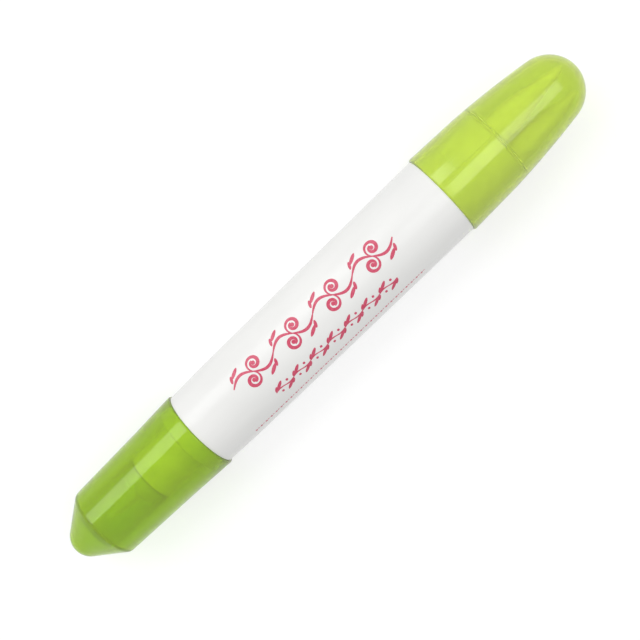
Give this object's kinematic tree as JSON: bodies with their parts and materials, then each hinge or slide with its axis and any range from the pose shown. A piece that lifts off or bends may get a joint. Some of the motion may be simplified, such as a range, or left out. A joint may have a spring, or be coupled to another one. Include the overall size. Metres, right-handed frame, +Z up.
{
  "type": "nail polish corrector pen",
  "caption": "Double-capped felt-tip corrector pen: a pull-off cone-ended cap over the working nib, and a pull-off round-nosed cap over spare tips.",
  "frame": {"origin": "on the surface that the pen lies on, under the middle of its whole length", "axes": "+X along the pen's axis from the working nib to the spare tips, +Z up"},
  "size_m": [0.1202, 0.0164, 0.0164],
  "materials": {
    "barrel_plastic": "glossy white moulded plastic, printed",
    "holder_plastic": "natural white moulded plastic",
    "felt": "dense white fibre tip",
    "wadding": "soft fibre wadding",
    "film": "clear film",
    "deep_lime_plastic": "translucent deep lime, glossy",
    "yellow_lime_plastic": "translucent yellow-lime, glossy"
  },
  "bodies": {
    "barrel": {"barrel": "barrel_plastic", "nib_holder": "holder_plastic", "working_nib": "felt", "reservoir_wadding": "wadding", "reservoir_film": "film", "spare_tip_holder": "holder_plastic"},
    "nib_cap": {"nib_cap": "deep_lime_plastic", "nib_cap_inner_seal": "deep_lime_plastic"},
    "spare_tip_cap": {"spare_tip_cap": "yellow_lime_plastic"},
    "spare_tip_1": {"spare_tip_1": "felt"},
    "spare_tip_2": {"spare_tip_2": "felt"},
    "spare_tip_3": {"spare_tip_3": "felt"}
  },
  "joints": [
    {"name": "nib_cap_pull", "type": "slide", "parent": "barrel", "child": "nib_cap", "axis": [-1, 0, 0], "range_m": [0, 0.045]},
    {"name": "spare_tip_cap_pull", "type": "slide", "parent": "barrel", "child": "spare_tip_cap", "axis": [1, 0, 0], "range_m": [0, 0.06]},
    {"name": "spare_tip_1_pull", "type": "slide", "parent": "barrel", "child": "spare_tip_1", "axis": [1, 0, 0], "range_m": [0, 0.027]},
    {"name": "spare_tip_2_pull", "type": "slide", "parent": "barrel", "child": "spare_tip_2", "axis": [1, 0, 0], "range_m": [0, 0.027]},
    {"name": "spare_tip_3_pull", "type": "slide", "parent": "barrel", "child": "spare_tip_3", "axis": [1, 0, 0], "range_m": [0, 0.027]}
  ],
  "couplings": [
    {"joint": "spare_tip_1_pull", "follows": "spare_tip_cap_pull", "ratio": 0.45},
    {"joint": "spare_tip_2_pull", "follows": "spare_tip_cap_pull", "ratio": 0.45},
    {"joint": "spare_tip_3_pull", "follows": "spare_tip_cap_pull", "ratio": 0.45}
  ]
}
